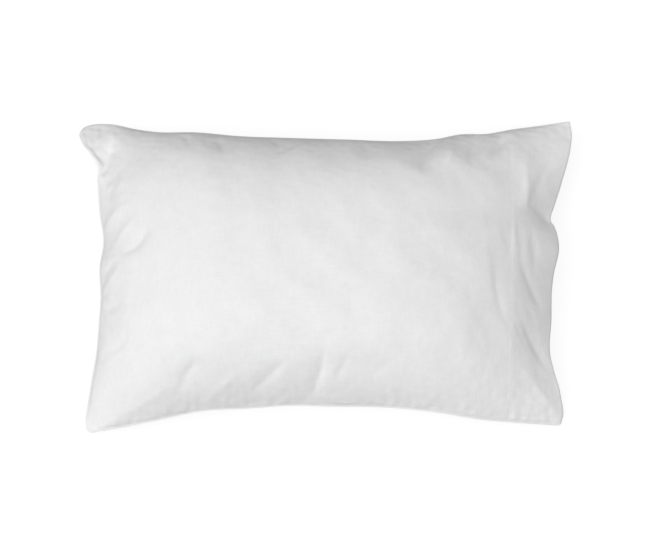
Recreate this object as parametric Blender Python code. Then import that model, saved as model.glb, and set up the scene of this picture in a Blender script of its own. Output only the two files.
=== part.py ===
"""A filled pillowcase lying on its back: one soft closed body with an open, hemmed mouth.

Metres, +Z up. +X runs along the case to its open mouth, +Y to its far side seam, and the
surface that it lies on is Z = 0. The two panels are joined at the closed end and along both
sides by a thin seam lip. At the mouth they part into two layers of cloth, with a pocket
between them that runs back to the end of the pillow.
"""

from collections import namedtuple

import bmesh
import bpy
import numpy as np

# The filled case
CROWN = 0.0845  # top of the case above its middle surface
BELLY = 0.106  # underside below its middle surface, before the surface flattens it
FLOOR_BLEND = 0.008  # height over which the underside turns flat
CREST = 0.46  # share of the width at which the case is highest
CREST_POWER = 3.3  # 2 is a round top across the case, more is a flatter one
NEAR_BLUNT = 0.95  # power of the swell at the near seam, steeper there below 1
FAR_BLUNT = 0.7  # the same at the far seam
CLOSED_ROUND = 0.35  # share of the length over which the closed end swells
CLOSED_POWER = 2.4  # 2 is a round shoulder there, more is a flatter one
CLOSED_BLUNT = 0.68  # power of the swell at the closed seam, steeper there below 1
MOUTH_TAPER = 0.43  # share of the length over which the filling runs out at the mouth
TAPER_POWER = 2.6  # how late in that share the case falls away
MOUTH_RISE = 0.12  # share of the crown that is left at the mouth's edge
MOUTH_SAG = 0.09  # share of the belly that is left there
DETAIL_FADE = 5  # power by which an edge's small waves die out away from it
CORNER_ROUND = 0.010  # radius of the two closed corners

# Cloth and seams
CLOTH = 0.002  # one hemmed layer at the mouth
SEAM_WIDTH = 0.005
SEAM_THICK = 0.0024
SEAM_FADE = 0.012  # distance beside a seam in which a fold dies out
SEAM_THICKENS = 0.03  # share of the width beside a seam in which the layers thicken

# The deep hem round the mouth
HEM_X = 0.2705  # where its stitched edge crosses the middle of both panels
HEM_LEAN = 0.03  # how far that edge leans to the mouth for each metre across
HEM_SHARE = 0.89  # share of the length nearest to that edge
HEM_STRETCH = 0.6  # share of the length from where the mesh is moved to follow it
HEM_RAISE = 0.001  # step up where the cloth is doubled
HEM_TURN = 0.003  # run of that step

# The pocket inside the mouth
POCKET_START = 0.845  # share of the length where the pillow's end begins
PILLOW_BULGE = 0.020  # how far the pillow's end swells into the pocket
PILLOW_BLUNT = 0.7  # power of its round, blunter below 1
PILLOW_ROWS = 5

# The mesh
LENGTH_STEPS = 57
WIDTH_STEPS = 37
FINE_ENDS = (0.14, 0.72)  # shares of the length up to which and from which steps are close
FINE_SIDES = (0.25, 0.82)  # the same for the width
COARSE = 0.45  # weight of the smooth middle when steps are shared out
SAMPLES = 1601  # how many places a smooth profile is read at
TINY = 1e-12  # keeps a normal without length from dividing by nothing

# Where the filling doesn't reach the top: a place in plan, how far it spreads along and
# across, and the share of the swell that is missing there
Slack = namedtuple("Slack", "x y along across share")
SLACKS = (
    Slack(-0.357, 0.185, 0.034, 0.046, 0.95),
    Slack(-0.345, 0.115, 0.030, 0.060, 0.35),
)

Corner = namedtuple("Corner", "x y z")
NEAR_CLOSED = Corner(-0.353, -0.242, 0.022)
FAR_CLOSED = Corner(-0.371, 0.2130, 0.054)
FAR_MOUTH = Corner(0.371, 0.2330, 0.036)
NEAR_MOUTH = Corner(0.347, -0.2305, 0.020)
LENGTH = NEAR_MOUTH.x - NEAR_CLOSED.x
WIDTH = FAR_CLOSED.y - NEAR_CLOSED.y

# One edge between two corners: share along it, how far it is drawn in, and its height
Edge = namedtuple("Edge", "along inset height")
NEAR_EDGE = (
    Edge(0.00, 0.0000, 0.022),
    Edge(0.07, 0.0060, 0.032),
    Edge(0.16, 0.0160, 0.044),
    Edge(0.24, 0.0255, 0.052),
    Edge(0.35, 0.0280, 0.058),
    Edge(0.43, 0.0304, 0.061),
    Edge(0.52, 0.0277, 0.062),
    Edge(0.64, 0.0243, 0.060),
    Edge(0.75, 0.0153, 0.054),
    Edge(0.81, 0.0085, 0.047),
    Edge(0.90, 0.0035, 0.034),
    Edge(1.00, 0.0000, 0.020),
)
FAR_EDGE = (
    Edge(0.00, 0.0000, 0.054),
    Edge(0.02, -0.0078, 0.050),
    Edge(0.06, -0.0095, 0.045),
    Edge(0.12, 0.0025, 0.047),
    Edge(0.16, 0.0066, 0.051),
    Edge(0.24, 0.0110, 0.058),
    Edge(0.33, 0.0195, 0.061),
    Edge(0.43, 0.0245, 0.063),
    Edge(0.55, 0.0296, 0.064),
    Edge(0.65, 0.0330, 0.062),
    Edge(0.73, 0.0290, 0.057),
    Edge(0.77, 0.0228, 0.055),
    Edge(0.83, 0.0210, 0.050),
    Edge(0.88, 0.0135, 0.045),
    Edge(0.94, 0.0070, 0.040),
    Edge(1.00, 0.0000, 0.036),
)
CLOSED_EDGE = (
    Edge(0.00, 0.0000, 0.022),
    Edge(0.04, -0.0004, 0.024),
    Edge(0.10, 0.0050, 0.032),
    Edge(0.17, 0.0125, 0.042),
    Edge(0.24, 0.0200, 0.050),
    Edge(0.34, 0.0262, 0.060),
    Edge(0.43, 0.0300, 0.063),
    Edge(0.52, 0.0292, 0.064),
    Edge(0.61, 0.0355, 0.062),
    Edge(0.70, 0.0305, 0.060),
    Edge(0.81, 0.0280, 0.056),
    Edge(0.88, 0.0270, 0.063),
    Edge(0.91, 0.0210, 0.065),
    Edge(0.95, 0.0110, 0.061),
    Edge(1.00, 0.0000, 0.054),
)
MOUTH_EDGE = (
    Edge(0.00, 0.0000, 0.020),
    Edge(0.03, -0.0038, 0.022),
    Edge(0.08, 0.0005, 0.025),
    Edge(0.12, 0.0062, 0.028),
    Edge(0.16, 0.0150, 0.032),
    Edge(0.20, 0.0212, 0.035),
    Edge(0.32, 0.0240, 0.038),
    Edge(0.47, 0.0222, 0.040),
    Edge(0.57, 0.0155, 0.039),
    Edge(0.61, 0.0185, 0.037),
    Edge(0.66, 0.0250, 0.033),
    Edge(0.70, 0.0220, 0.034),
    Edge(0.76, 0.0149, 0.037),
    Edge(0.82, 0.0080, 0.039),
    Edge(0.90, 0.0005, 0.038),
    Edge(0.95, -0.0024, 0.037),
    Edge(1.00, 0.0000, 0.036),
)

# A fold seen from above: its two ends, how far it bows to the left of its run, the width of its
# left and right flanks, its depth, negative for a ridge, and the share of its run where that is
Fold = namedtuple("Fold", "x0 y0 x1 y1 bow left right depth peak")
FOLD_ROUND = 0.005  # how softly the two flanks meet
FOLD_TAPER = 1.5  # how fast a fold dies out towards its ends
FOLD_RUNS_ON = 0.5  # share of its run over which its bow goes on past each end
HEM_FOLDS = (
    Fold(0.263, -0.095, 0.231, 0.061, 0.009, 0.022, 0.014, -0.0030, 0.45),
    Fold(0.322, -0.078, 0.281, 0.014, 0.002, 0.008, 0.009, 0.0040, 0.50),
    Fold(0.331, -0.160, 0.279, -0.076, 0.001, 0.008, 0.013, 0.0045, 0.45),
    Fold(0.341, -0.210, 0.277, -0.141, 0.001, 0.020, 0.011, -0.0035, 0.40),
    Fold(0.298, 0.072, 0.302, 0.186, 0.003, 0.014, 0.018, -0.0050, 0.40),
    Fold(0.298, 0.084, 0.341, 0.170, 0.002, 0.020, 0.010, 0.0040, 0.45),
    Fold(0.289, 0.094, 0.346, 0.070, 0.002, 0.014, 0.010, 0.0070, 0.70),
)
CLOSED_END_FOLDS = (
    Fold(-0.330, 0.050, -0.276, 0.101, 0.004, 0.008, 0.013, -0.0030, 0.40),
    Fold(-0.320, 0.020, -0.270, 0.074, -0.002, 0.008, 0.010, -0.0025, 0.50),
    Fold(-0.314, 0.008, -0.255, 0.057, -0.017, 0.010, 0.008, 0.0030, 0.50),
    Fold(-0.330, -0.046, -0.292, 0.002, 0.000, 0.008, 0.010, -0.0025, 0.45),
    Fold(-0.334, -0.130, -0.282, -0.101, -0.011, 0.008, 0.008, 0.0025, 0.45),
)
NEAR_SIDE_FOLDS = (
    Fold(-0.342, -0.236, -0.212, -0.175, -0.002, 0.030, 0.012, -0.0035, 0.40),
    Fold(-0.217, -0.198, -0.174, -0.142, 0.004, 0.012, 0.010, 0.0050, 0.60),
    Fold(-0.182, -0.206, -0.119, -0.167, 0.002, 0.014, 0.010, -0.0020, 0.50),
    Fold(-0.120, -0.199, -0.052, -0.145, -0.003, 0.010, 0.008, 0.0035, 0.60),
    Fold(-0.026, -0.204, -0.004, -0.129, -0.008, 0.011, 0.008, 0.0045, 0.50),
)
FAR_SIDE_FOLDS = (
    Fold(-0.150, 0.153, -0.161, 0.195, 0.000, 0.010, 0.008, 0.0035, 0.65),
    Fold(-0.083, 0.151, -0.041, 0.196, -0.006, 0.008, 0.008, 0.0035, 0.60),
    Fold(0.062, 0.142, 0.051, 0.190, -0.003, 0.012, 0.010, 0.0030, 0.60),
    Fold(0.138, 0.118, 0.168, 0.199, 0.005, 0.022, 0.010, 0.0080, 0.60),
    Fold(0.209, 0.138, 0.239, 0.207, 0.005, 0.011, 0.014, 0.0060, 0.55),
    Fold(0.240, 0.156, 0.275, 0.206, 0.000, 0.008, 0.008, 0.0045, 0.60),
)
TOP_FOLDS = HEM_FOLDS + CLOSED_END_FOLDS + NEAR_SIDE_FOLDS + FAR_SIDE_FOLDS
UNDER_FOLDS = (
    Fold(-0.322, -0.060, -0.270, -0.030, 0.004, 0.012, 0.008, 0.0040, 0.35),
    Fold(-0.330, 0.095, -0.275, 0.060, 0.000, 0.009, 0.012, 0.0040, 0.35),
    Fold(-0.190, -0.200, -0.165, -0.140, 0.003, 0.012, 0.009, 0.0050, 0.35),
    Fold(-0.060, -0.202, -0.050, -0.150, 0.000, 0.009, 0.010, 0.0040, 0.35),
    Fold(0.110, -0.204, 0.085, -0.140, 0.000, 0.013, 0.009, 0.0055, 0.35),
    Fold(0.235, -0.212, 0.215, -0.150, 0.003, 0.009, 0.011, 0.0040, 0.35),
    Fold(-0.140, 0.190, -0.160, 0.140, 0.000, 0.010, 0.013, 0.0045, 0.35),
    Fold(0.020, 0.188, 0.000, 0.136, 0.000, 0.011, 0.008, 0.0040, 0.35),
    Fold(0.190, 0.190, 0.165, 0.130, -0.003, 0.009, 0.013, 0.0055, 0.35),
    Fold(0.330, -0.060, 0.245, -0.020, 0.004, 0.012, 0.009, 0.0040, 0.50),
    Fold(0.335, 0.110, 0.250, 0.070, 0.000, 0.009, 0.012, 0.0045, 0.50),
)

COTTON = (0.86, 0.86, 0.86, 1.0)
COTTON_ROUGHNESS = 0.85


def smooth(rows, column, at):
    """A column of a table as a smooth curve through its rows, which are led by their share."""
    knots = np.array([row[0] for row in rows])
    values = np.array([row[column] for row in rows])
    slopes = np.gradient(values, knots)
    at = np.clip(at, knots[0], knots[-1])
    left = np.clip(np.searchsorted(knots, at, side="right") - 1, 0, len(knots) - 2)
    step = knots[left + 1] - knots[left]
    t = (at - knots[left]) / step
    rise = t * t * (3 - 2 * t)
    return (
        values[left] * (1 - rise)
        + values[left + 1] * rise
        + slopes[left] * step * t * (1 - t) ** 2
        - slopes[left + 1] * step * t * t * (1 - t)
    )


def ease(value, width):
    """0 at nothing and 1 from width on, turning smoothly."""
    t = np.clip(value / width, 0, 1)
    return t * t * (3 - 2 * t)


def edge_bend(start, end, rows, along, away, inward):
    """How an edge bends off the line between its corners, as felt at a share away from it."""
    chord = np.array(end[:2]) - np.array(start[:2])
    normal = np.array([-chord[1], chord[0]]) / np.hypot(*chord) * inward

    def bend(share):
        straight = start.z + (end.z - start.z) * share
        return np.stack([smooth(rows, 1, share), smooth(rows, 2, share) - straight], axis=-1)

    bow = 4 * (along * (1 - along))[..., None] * bend(np.array(0.5))
    near = (1 - away)[..., None]
    inset, height = np.moveaxis(bow * near + (bend(along) - bow) * near**DETAIL_FADE, -1, 0)
    return np.concatenate([inset[..., None] * normal, height[..., None]], axis=-1)


def round_corners(along, across):
    """Shares moved so that the outline turns the two closed corners on an arc."""
    side = np.minimum(across, 1 - across)
    a = np.clip(1 - along * LENGTH / CORNER_ROUND, 0, 1)
    b = np.clip(1 - side * WIDTH / CORNER_ROUND, 0, 1)
    along = along + (a - a * np.sqrt(1 - b * b / 2)) * CORNER_ROUND / LENGTH
    inward = (b - b * np.sqrt(1 - a * a / 2)) * CORNER_ROUND / WIDTH
    return along, np.where(across < 0.5, across + inward, across - inward)


def middle_surface(along, across):
    """The surface that the four edges span, halfway between the two panels."""
    along, across = round_corners(along, across)
    u, v = along[..., None], across[..., None]
    corners = [np.array(c) for c in (NEAR_CLOSED, FAR_CLOSED, NEAR_MOUTH, FAR_MOUTH)]
    closed = corners[0] * (1 - v) + corners[1] * v
    mouth = corners[2] * (1 - v) + corners[3] * v
    return (
        closed * (1 - u)
        + mouth * u
        + edge_bend(NEAR_CLOSED, NEAR_MOUTH, NEAR_EDGE, along, across, 1)
        + edge_bend(FAR_CLOSED, FAR_MOUTH, FAR_EDGE, along, 1 - across, -1)
        + edge_bend(NEAR_CLOSED, FAR_CLOSED, CLOSED_EDGE, across, along, -1)
        + edge_bend(NEAR_MOUTH, FAR_MOUTH, MOUTH_EDGE, across, 1 - along, 1)
    )


def swell_along(along, left_at_mouth):
    """Share of the full height at each share of the length."""
    rise = 1 - (1 - np.clip(along / CLOSED_ROUND, 0, 1)) ** CLOSED_POWER
    fall = np.clip((along - 1 + MOUTH_TAPER) / MOUTH_TAPER, 0, 1) ** TAPER_POWER
    return rise**CLOSED_BLUNT * (1 - (1 - left_at_mouth) * fall)


def swell_across(across):
    """Share of the full height at each share of the width."""
    half = np.where(across < CREST, CREST, 1 - CREST)
    blunt = np.where(across < CREST, NEAR_BLUNT, FAR_BLUNT)
    return np.clip(1 - (np.abs(across - CREST) / half) ** CREST_POWER, 0, 1) ** blunt


def filled(points):
    """Share of the filling that reaches the top at each place in plan."""
    share = np.ones(points.shape[:2])
    for slack in SLACKS:
        along = (points[..., 0] - slack.x) / slack.along
        across = (points[..., 1] - slack.y) / slack.across
        share *= 1 - slack.share * np.exp(-((along**2 + across**2) ** 2))
    return share


def normals_of(points):
    lengthwise = np.gradient(points, axis=0)
    crosswise = np.gradient(points, axis=1)
    normals = np.cross(lengthwise, crosswise)
    return normals / np.maximum(np.linalg.norm(normals, axis=2, keepdims=True), TINY)


def fold_depths(points, folds):
    """How deep the folds press each point in, measured in plan from each fold's bowed line."""
    plan = points[..., :2]
    depth = np.zeros(plan.shape[:2])
    for fold in folds:
        start, end = np.array(fold[0:2]), np.array(fold[2:4])
        length = np.hypot(*(end - start))
        forward = (end - start) / length
        left = np.array([-forward[1], forward[0]])
        t = np.clip((plan - start) @ forward / length, -FOLD_RUNS_ON, 1 + FOLD_RUNS_ON)
        aside = (plan - start) @ left - 4 * fold.bow * t * (1 - t)
        width = np.where(aside > 0, fold.left, fold.right)
        away = (np.sqrt(aside**2 + FOLD_ROUND**2) - FOLD_ROUND) / width
        reach = np.where(t < fold.peak, fold.peak, 1 - fold.peak)
        taper = np.clip(1 - ((t - fold.peak) / reach) ** 2, 0, 1) ** FOLD_TAPER
        depth += fold.depth * taper * np.exp(-away)
    return depth


def lie_flat(heights):
    """Heights pressed flat at the surface, with a soft turn above it."""
    turn = (heights + FLOOR_BLEND) ** 2 / (4 * FLOOR_BLEND)
    pressed = np.where(heights < FLOOR_BLEND, turn, heights)
    return np.where(heights < -FLOOR_BLEND, 0.0, pressed)


def outer_panels(grid):
    """The outer faces of the top and the under panel, as grids of points."""
    swell = swell_across(grid.inside_across)
    fade = ease(from_sides(grid) * WIDTH, SEAM_FADE)
    fold_fade = fade * ease(grid.inside_along * LENGTH, SEAM_FADE)
    hem = HEM_RAISE * grid.in_hem * fade

    top = middle_surface(grid.along, grid.across)
    under = top.copy()
    top[..., 2] += SEAM_THICK / 2
    top[..., 2] += CROWN * swell_along(grid.inside_along, MOUTH_RISE) * swell * filled(top)
    sunk = fold_depths(top, TOP_FOLDS) * fold_fade - hem
    top -= normals_of(top) * sunk[..., None]

    under[..., 2] -= SEAM_THICK / 2
    under[..., 2] -= BELLY * swell_along(grid.inside_along, MOUTH_SAG) * swell
    sunk = fold_depths(under, UNDER_FOLDS) * fold_fade - hem
    under += normals_of(under) * sunk[..., None]
    under[..., 2] = lie_flat(under[..., 2])
    return top, under


def from_sides(grid):
    return np.minimum(grid.inside_across, 1 - grid.inside_across)


def shared_steps(count, length, height, profile, fine):
    """Shares 0 to 1 whose steps are even along a profile, closer together outside fine."""
    dense = np.linspace(0, 1, SAMPLES)
    run = np.hypot(np.diff(dense) * length, np.diff(profile(dense)) * height)
    middle = (dense[1:] + dense[:-1]) / 2
    weight = np.where((middle < fine[0]) | (middle > fine[1]), 1.0, COARSE)
    path = np.concatenate([[0], np.cumsum(run * weight)])
    return np.interp(np.linspace(0, path[-1], count + 1), path, dense)


def length_shares():
    """Shares inside the closed end's seam, closer together at both ends of the case."""
    return shared_steps(
        LENGTH_STEPS,
        LENGTH,
        CROWN,
        lambda share: swell_along(share, MOUTH_RISE),
        FINE_ENDS,
    )


def width_shares():
    """Shares inside the two side seams, closer together beside them."""
    return shared_steps(WIDTH_STEPS, WIDTH, CROWN, swell_across, FINE_SIDES)


def hem_shares(across):
    """Share along each row at which its middle surface meets the hem's edge."""
    dense = np.linspace(0, 1, SAMPLES)
    rows = middle_surface(*np.meshgrid(dense, across, indexing="ij"))
    from_hem = rows[..., 0] - HEM_LEAN * rows[..., 1] - HEM_X
    return [np.interp(0, row, dense) for row in from_hem.T]


Grid = namedtuple("Grid", "along across inside_along inside_across in_hem")


def case_grid():
    """Where the points lie: shares of the outline, shares inside the seams, and the hem."""
    inside = length_shares()
    hem_at = inside[np.argmin(np.abs(inside - HEM_SHARE))]
    inside = np.sort(np.append(inside, hem_at - HEM_TURN / LENGTH))
    seam = SEAM_WIDTH / LENGTH
    along = np.concatenate([[0], seam + inside * (1 - seam)])
    inside_along = np.concatenate([[0], inside])
    hem_column = seam + hem_at * (1 - seam)

    inside = width_shares()
    seam = SEAM_WIDTH / WIDTH
    across = np.concatenate([[0], seam + inside * (1 - 2 * seam), [1]])
    inside_across = np.concatenate([[0], inside, [1]])

    columns = [
        np.interp(along, [0, HEM_STRETCH, hem_column, 1], [0, HEM_STRETCH, hem, 1])
        for hem in hem_shares(across)
    ]
    in_hem = inside_along >= hem_at
    rows = np.ones(len(across))
    return Grid(
        np.column_stack(columns),
        np.outer(np.ones(len(along)), across),
        np.outer(inside_along, rows),
        np.outer(np.ones(len(along)), inside_across),
        np.outer(in_hem, rows),
    )


def inner_layers(top, under, grid):
    """The inner faces of the two layers of cloth at the mouth."""
    thin = SEAM_THICK / 2
    layer = thin + (CLOTH - thin) * ease(from_sides(grid), SEAM_THICKENS)
    upper = top - normals_of(top) * layer[..., None]
    lower = under + normals_of(under) * layer[..., None]
    return upper, lower


class Skin:
    """Collects grids of points and the faces between them into one mesh."""

    def __init__(self):
        self.mesh = bmesh.new()

    def points(self, grid):
        return [[self.mesh.verts.new(p) for p in row] for row in grid]

    def face(self, *corners):
        distinct = list(dict.fromkeys(corners))
        if len(distinct) > 2:
            self.mesh.faces.new(distinct)

    def sheet(self, grid, flip=False):
        """Faces over a grid of points, turned over where it is flipped."""
        for low, high in zip(grid, grid[1:]):
            for a, b, c, d in zip(low, high, high[1:], low[1:]):
                self.face(*((d, c, b, a) if flip else (a, b, c, d)))

    def strip(self, first, second):
        self.sheet([first, second])


def column(grid, index):
    return [row[index] for row in grid]


def case_mesh():
    """The closed skin: two panels, their seam lips, two hemmed layers and the pillow's end."""
    grid = case_grid()
    top_points, under_points = outer_panels(grid)
    upper_points, lower_points = inner_layers(top_points, under_points, grid)
    back = int(np.searchsorted(grid.inside_along[:, 0], POCKET_START))
    meeting = (upper_points[back:, [1, -2]] + lower_points[back:, [1, -2]]) / 2

    skin = Skin()
    top, under = skin.points(top_points), skin.points(under_points)
    skin.sheet(top)
    skin.sheet(under, flip=True)
    skin.strip(under[0], top[0])
    skin.strip(column(top, 0), column(under, 0))
    skin.strip(column(under, -1), column(top, -1))

    ends = skin.points(meeting)
    upper = inside_ends(ends, skin.points(upper_points[back:, 2:-2]))
    lower = inside_ends(ends, skin.points(lower_points[back:, 2:-2]))
    skin.sheet(upper, flip=True)
    skin.sheet(lower)
    skin.strip(top[-1][1:-1], upper[-1])
    skin.strip(lower[-1], under[-1][1:-1])
    skin.face(under[-1][0], under[-1][1], upper[-1][0], top[-1][1], top[-1][0])
    skin.face(upper[-1][-1], under[-1][-2], under[-1][-1], top[-1][-1], top[-1][-2])
    pillow_end(skin, upper[0], lower[0])
    bmesh.ops.triangulate(skin.mesh, faces=skin.mesh.faces, quad_method="SHORT_EDGE")
    return skin.mesh


def inside_ends(ends, rows):
    """Rows of points with the points where the two layers meet added at both ends."""
    return [[near, *row, far] for (near, far), row in zip(ends, rows)]


def pillow_end(skin, upper, lower):
    """The rounded end of the pillow, which closes the pocket at its back."""
    high = np.array([v.co for v in upper])
    low = np.array([v.co for v in lower])
    tall = np.linalg.norm(high - low, axis=1)
    bulge = PILLOW_BULGE * np.sqrt(tall / tall.max())
    rows = [upper]
    for step in range(1, PILLOW_ROWS):
        share = step / PILLOW_ROWS
        place = high * (1 - share) + low * share
        place[:, 0] += bulge * np.sin(np.pi * share) ** PILLOW_BLUNT
        inner = [skin.mesh.verts.new(p) for p in place[1:-1]]
        rows.append([upper[0], *inner, upper[-1]])
    rows.append(lower)
    skin.sheet(rows)


def cotton():
    material = bpy.data.materials.new("white cotton")
    material.use_nodes = True
    shader = material.node_tree.nodes["Principled BSDF"]
    shader.inputs["Base Color"].default_value = COTTON
    shader.inputs["Roughness"].default_value = COTTON_ROUGHNESS
    shader.inputs["Metallic"].default_value = 0.0
    return material


def centre_on_plan(skin):
    """Moves the points so that the middle of the footprint is the origin."""
    plan = np.array([v.co[:2] for v in skin.verts])
    shift = (plan.min(axis=0) + plan.max(axis=0)) / 2
    bmesh.ops.translate(skin, verts=skin.verts, vec=(-shift[0], -shift[1], 0))


def pillowcase():
    skin = case_mesh()
    centre_on_plan(skin)
    mesh = bpy.data.meshes.new("pillowcase")
    skin.to_mesh(mesh)
    skin.free()
    mesh.shade_smooth()
    mesh.materials.append(cotton())
    case = bpy.data.objects.new("pillowcase", mesh)
    bpy.context.scene.collection.objects.link(case)
    return case


def main():
    for old in list(bpy.data.objects):
        bpy.data.objects.remove(old)
    pillowcase()


main()
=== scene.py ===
"""White cotton pillowcase, plump with its pillow and lying on its back.

The case is one skin of cloth: two panels that are seamed at the closed end and along both
sides, with an open, deeply hemmed mouth at +X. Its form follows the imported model's, with finer
folds, and is then settled as cloth. Metres, +Z up.
"""

import math
from collections import namedtuple

import bmesh
import bpy
import numpy as np
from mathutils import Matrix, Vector


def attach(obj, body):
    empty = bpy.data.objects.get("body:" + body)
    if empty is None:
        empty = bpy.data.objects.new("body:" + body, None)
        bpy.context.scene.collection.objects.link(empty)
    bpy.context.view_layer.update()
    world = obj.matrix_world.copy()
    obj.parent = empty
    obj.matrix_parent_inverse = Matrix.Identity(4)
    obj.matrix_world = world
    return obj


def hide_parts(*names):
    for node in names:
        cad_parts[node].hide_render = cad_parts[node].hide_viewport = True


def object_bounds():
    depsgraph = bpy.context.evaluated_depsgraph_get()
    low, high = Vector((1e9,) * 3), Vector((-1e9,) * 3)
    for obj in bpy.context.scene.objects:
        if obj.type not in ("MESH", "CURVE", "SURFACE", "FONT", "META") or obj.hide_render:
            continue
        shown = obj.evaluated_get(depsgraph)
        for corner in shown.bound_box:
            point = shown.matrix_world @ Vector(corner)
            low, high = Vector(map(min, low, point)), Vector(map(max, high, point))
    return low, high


bl_info = {
    "name": "Filled pillowcase",
    "version": (1, 0, 0),
    "blender": (4, 5, 0),
    "location": "View3D > Sidebar > Pillowcase",
    "description": "Makes a plump cotton pillowcase with its seams, hem, stitching and stage",
    "category": "Object",
}

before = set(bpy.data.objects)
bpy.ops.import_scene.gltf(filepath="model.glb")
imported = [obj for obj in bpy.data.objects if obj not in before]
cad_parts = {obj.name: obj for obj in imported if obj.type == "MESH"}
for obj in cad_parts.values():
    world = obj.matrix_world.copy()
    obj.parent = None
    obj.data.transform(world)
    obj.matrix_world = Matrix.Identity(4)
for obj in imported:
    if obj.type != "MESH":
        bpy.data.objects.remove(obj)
PACKED_BOX = [list(corner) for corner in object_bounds()]

# The filled case
FLOOR_BLEND = 0.008  # height over which the underside turns flat
CREST = 0.46  # share of the width at which the case is highest
CREST_POWER = 3.3  # 2 is a round top across the case, more is a flatter one
NEAR_BLUNT = 0.95  # power of the swell at the near seam, steeper there below 1
FAR_BLUNT = 0.64  # the same at the far seam
CLOSED_ROUND = 0.35  # share of the length over which the closed end swells
CLOSED_POWER = 2.4  # 2 is a round shoulder there, more is a flatter one
CLOSED_BLUNT = 0.68  # power of the swell at the closed seam, steeper there below 1
MOUTH_TAPER = 0.43  # share of the length over which the filling runs out at the mouth
TAPER_POWER = 2.6  # how late in that share the case falls away
MOUTH_RISE = 0.12  # share of the crown that is left at the mouth's edge
MOUTH_SAG = 0.09  # share of the belly that is left there
DETAIL_FADE = 5  # power by which an edge's small waves die out away from it
CORNER_ROUND = 0.010  # radius of the two closed corners

# The flat case that is settled into that form
FLAT_LENGTH = 0.75
FLAT_WIDTH = 0.50

# The meshes
SAMPLES = 1601  # how many places a smooth profile is read at
HEM_SAMPLES = 401  # how many places a row is read at to find the hem's edge on it
ROW_ROOM = 0.4  # share of the smallest step that an added row of points keeps free
TINY = 1e-9  # keeps a length of nothing from being divided by

# Seams
SEAM_FADE = 0.006  # distance beside a seam in which a fold dies out
SEAM_PROFILE = ((0.0, 0.0003), (0.35, 0.0007), (1.0, 0.0009))  # share of its width, half thickness
SEAM_RUNS = (0.0012, 0.0026, 0.0040, 0.0052, 0.0064)  # rows of points beside each seam
SEAM_ALLOWANCE = 0.0046  # how far the turned-in edges reach under the cloth, in plan
ALLOWANCE_RISE = 0.0026  # run over which they rise beside the seam
ALLOWANCE_FALL = 0.0014  # run over which they end under the cloth
PUCKER_PITCH = 0.015  # from one small pucker at a seam to the next
PUCKER_STRETCH = 0.2  # how slowly the puckers change away from the seam, against along it
PUCKER_REACH = 0.012  # how far they run into the cloth
PUCKER_START = PUCKER_REACH / 3  # distance from the seam at which they have grown
PUCKER_SEED = 31

# The cloth's unevenness over its filling. A swell is as high as its share of the undulation.
Swell = namedtuple("Swell", "pitch share seed")
SWELLS = (Swell(0.075, 1.0, 11), Swell(0.024, 0.2, 17))
SWELL_WAVES = 28  # how many waves make up one uneven surface
SWELL_SPREAD = (0.75, 1.35)  # the shortest and the longest of them, in pitches
CRUMPLE_PITCH = 0.013  # from one fine crumple of the cloth to the next
CRUMPLE_MORE = 5.0  # how much higher they are beside a seam
CRUMPLE_REACH = 0.04  # and how far in from it
CRUMPLE_SEED = 23

# The hem and the mouth
HEM_X = 0.2705  # where the hem's stitched edge crosses the middle of both panels
HEM_LEAN = 0.03  # how far that edge leans to the mouth for each metre across
HEM_SHARE = 0.89  # share of the length nearest to that edge
HEM_STRETCH = 0.6  # share of the length from where the mesh is moved to follow it
HEM_SIDE_FADE = 0.01  # share of the width beside a seam in which its step dies out
HEM_STITCH = 0.0022  # from the hem's edge to its stitching
# Distance from the hem's edge, and how high the turned-in band of three layers, then the two
# layers past it, stand there, in steps
HEM_HEIGHTS = (
    (-0.0030, 0.0),
    (-0.0018, -0.25),
    (-0.0008, 0.1),
    (0.0, 0.9),
    (0.0010, 1.3),
    (HEM_STITCH, 0.8),
    (0.0036, 1.4),
    (0.0082, 1.5),
    (0.0106, 1.0),
)
HEM_RUNS = (*(place for place, _ in HEM_HEIGHTS), 0.0070, 0.0094)  # rows of points across it
POCKET_START = 0.845  # share of the length where the pillow's end begins
PILLOW_BULGE = 0.020  # how far the pillow's end swells into the pocket
PILLOW_BLUNT = 0.7  # power of its round, blunter below 1
PILLOW_ROWS = 8  # rows of cells over it
UNDER_PEEKS = 0.0025  # how far the under layer shows beyond the top one at the mouth
UNDER_PEEKS_AT = 0.37  # share of the width where it does, and how wide that stretch is
UNDER_PEEKS_WIDE = 0.12
UNDER_PEEKS_FROM = 0.93  # share of the length where it starts to, and the run to its full size
UNDER_PEEKS_RUN = 0.07

# Where the filling doesn't reach: a place in plan, how far it spreads along and across, and
# the share of the swell that is missing there
Slack = namedtuple("Slack", "x y along across share")
SLACKS = (
    Slack(-0.375, 0.215, 0.060, 0.055, 0.85),
    Slack(-0.375, 0.205, 0.120, 0.090, 0.38),
    Slack(-0.345, 0.115, 0.030, 0.060, 0.35),
)

Corner = namedtuple("Corner", "x y z")
NEAR_CLOSED = Corner(-0.353, -0.242, 0.022)
FAR_CLOSED = Corner(-0.3765, 0.2160, 0.042)
FAR_MOUTH = Corner(0.371, 0.2330, 0.036)
NEAR_MOUTH = Corner(0.347, -0.2290, 0.012)
LENGTH = NEAR_MOUTH.x - NEAR_CLOSED.x
WIDTH = FAR_CLOSED.y - NEAR_CLOSED.y

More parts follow.
